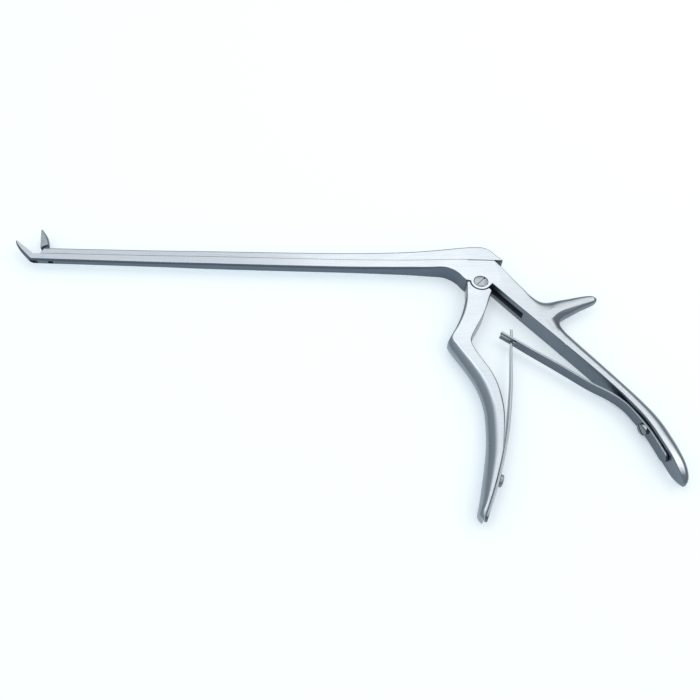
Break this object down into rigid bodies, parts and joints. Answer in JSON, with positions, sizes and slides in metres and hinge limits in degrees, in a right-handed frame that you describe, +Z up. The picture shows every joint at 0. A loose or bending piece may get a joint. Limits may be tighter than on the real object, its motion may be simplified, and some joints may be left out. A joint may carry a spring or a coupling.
{
  "type": "disc rongeur",
  "caption": "Slender pistol-grip bone punch with a sliding upper shaft, hinged cup jaw, squeeze trigger and crossed leaf springs.",
  "frame": {"origin": "on the pivot screw's axis, at its flat lower end, in the plane of the lower side faces on which the instrument lies", "axes": "+X along the shaft away from the jaws, +Y from the handles towards the sliding upper shaft, +Z up through the thickness"},
  "size_m": [0.2862, 0.1383, 0.0082],
  "materials": {
    "handle_body": "satin stainless steel",
    "slide": "satin stainless steel",
    "moving_jaw": "satin stainless steel",
    "jaw_pivot_pin": "ground stainless steel",
    "jaw_drive_pin": "ground stainless steel",
    "trigger": "satin stainless steel",
    "pivot_screw": "turned stainless steel",
    "rear_leaf_spring": "polished spring steel",
    "front_leaf_spring": "polished spring steel",
    "rear_spring_screw": "turned stainless steel",
    "front_spring_screw": "turned stainless steel"
  },
  "bodies": {
    "frame": {"handle_body": "handle_body", "pivot_screw": "pivot_screw", "jaw_pivot_pin": "jaw_pivot_pin", "rear_spring_screw": "rear_spring_screw"},
    "trigger_body": {"trigger": "trigger", "front_spring_screw": "front_spring_screw"},
    "slide_body": {"slide": "slide", "jaw_drive_pin": "jaw_drive_pin"},
    "jaw_body": {"moving_jaw": "moving_jaw"},
    "rear_spring_body": {"rear_leaf_spring": "rear_leaf_spring"},
    "front_spring_body": {"front_leaf_spring": "front_leaf_spring"}
  },
  "joints": [
    {"name": "trigger_squeeze", "type": "hinge", "parent": "frame", "child": "trigger_body", "pos_m": [0, 0, 0.0041], "axis": [0, 0, 1], "range_deg": [0, 10.35], "stiffness_Nm_per_rad": 4, "springref_deg": -5.16},
    {"name": "slide_travel", "type": "slide", "parent": "frame", "child": "slide_body", "axis": [-1, 0, 0], "range_m": [0, 0.00278]},
    {"name": "jaw_close", "type": "hinge", "parent": "frame", "child": "jaw_body", "pos_m": [-0.2008, 0.0109, 0.0041], "axis": [0, 0, 1], "range_deg": [0, 36.6]},
    {"name": "rear_spring_flex", "type": "hinge", "parent": "frame", "child": "rear_spring_body", "pos_m": [0.046, -0.055, 0.0041], "axis": [0, 0, 1], "range_deg": [-3.3, 0], "deforming": ["rear_leaf_spring"]},
    {"name": "front_spring_flex", "type": "hinge", "parent": "trigger_body", "child": "front_spring_body", "pos_m": [0.0045, -0.073, 0.0041], "axis": [0, 0, 1], "range_deg": [0, 4.7], "deforming": ["front_leaf_spring"]}
  ],
  "couplings": [
    {"joint": "slide_travel", "follows": "trigger_squeeze", "m_per_rad": 0.015341},
    {"joint": "jaw_close", "follows": "trigger_squeeze", "ratio": 3.5283},
    {"joint": "rear_spring_flex", "follows": "trigger_squeeze", "ratio": -0.3093},
    {"joint": "front_spring_flex", "follows": "trigger_squeeze", "ratio": 0.4447}
  ]
}
